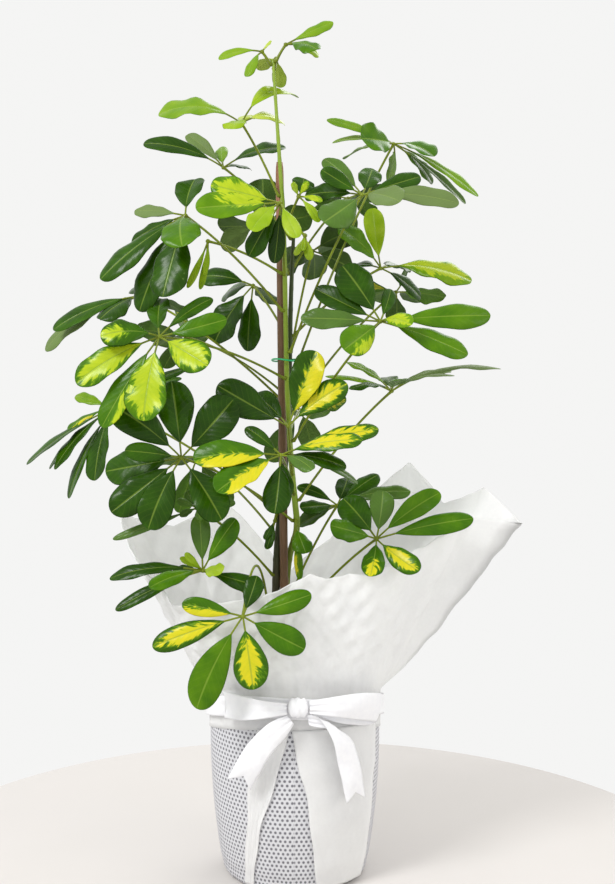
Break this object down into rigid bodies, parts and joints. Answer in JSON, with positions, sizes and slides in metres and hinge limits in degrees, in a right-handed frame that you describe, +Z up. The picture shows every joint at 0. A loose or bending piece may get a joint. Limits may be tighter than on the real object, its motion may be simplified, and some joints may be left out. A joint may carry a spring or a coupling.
{
  "type": "potted umbrella plant",
  "caption": "Variegated umbrella plant on a cane in a paper-wrapped pot, with a flared tissue collar and a satin bow.",
  "frame": {"origin": "centre of the wrapped pot's underside, on the surface it stands on", "axes": "+Z up along the pot's axis, -Y towards the bow at the front, +X to the right seen from the front"},
  "size_m": [0.5064, 0.3322, 0.8436],
  "materials": {
    "pot_plastic": "matte brown moulded plastic",
    "peat": "damp crumbly peat",
    "stained_cane": "reddish brown cane",
    "green_tie": "green plastic-covered wire",
    "young_stem": "smooth yellow-green stem",
    "old_stem": "dark green-brown bark",
    "leaf_green": "waxy green leaf, some with yellow patches",
    "dotted_paper": "pale grey paper with small grey dots",
    "white_tissue": "white translucent tissue",
    "white_satin": "white satin ribbon"
  },
  "bodies": {
    "root": {"bow_knot": "white_satin", "bow_loop_left": "white_satin", "bow_loop_right": "white_satin", "cane_tie": "green_tie", "dotted_wrap": "dotted_paper", "leaf_back_centre": "leaf_green", "leaf_back_high": "leaf_green", "leaf_back_left": "leaf_green", "leaf_back_low_left": "leaf_green", "leaf_back_middle": "leaf_green", "leaf_back_right": "leaf_green", "leaf_back_upper": "leaf_green", "leaf_base_left": "leaf_green", "leaf_base_right": "leaf_green", "leaf_centre_front": "leaf_green", "leaf_centre_upright": "leaf_green", "leaf_crown_back": "leaf_green", "leaf_crown_left": "leaf_green", "leaf_crown_right": "leaf_green", "leaf_far_left_lower": "leaf_green", "leaf_far_left_upper": "leaf_green", "leaf_front_low": "leaf_green", "leaf_front_upper": "leaf_green", "leaf_left_low_front": "leaf_green", "leaf_left_middle": "leaf_green", "leaf_left_shoulder": "leaf_green", "leaf_low_left": "leaf_green", "leaf_low_right": "leaf_green", "leaf_low_right_small": "leaf_green", "leaf_right_bright": "leaf_green", "leaf_right_level": "leaf_green", "leaf_right_middle": "leaf_green", "leaf_right_top": "leaf_green", "leaf_right_upper": "leaf_green", "leaf_small_left": "leaf_green", "leaf_top_left": "leaf_green", "leaf_upper_centre_left": "leaf_green", "leaf_upper_left": "leaf_green", "leaf_young_centre": "leaf_green", "leaf_young_front": "leaf_green", "leaf_young_left": "leaf_green", "nursery_pot": "pot_plastic", "potting_soil": "peat", "ribbon_band": "white_satin", "ribbon_tail_left": "white_satin", "ribbon_tail_right": "white_satin", "stem_second": "old_stem", "stem_tall": "young_stem", "support_cane": "stained_cane", "tissue_wrap": "white_tissue"}
  },
  "joints": []
}
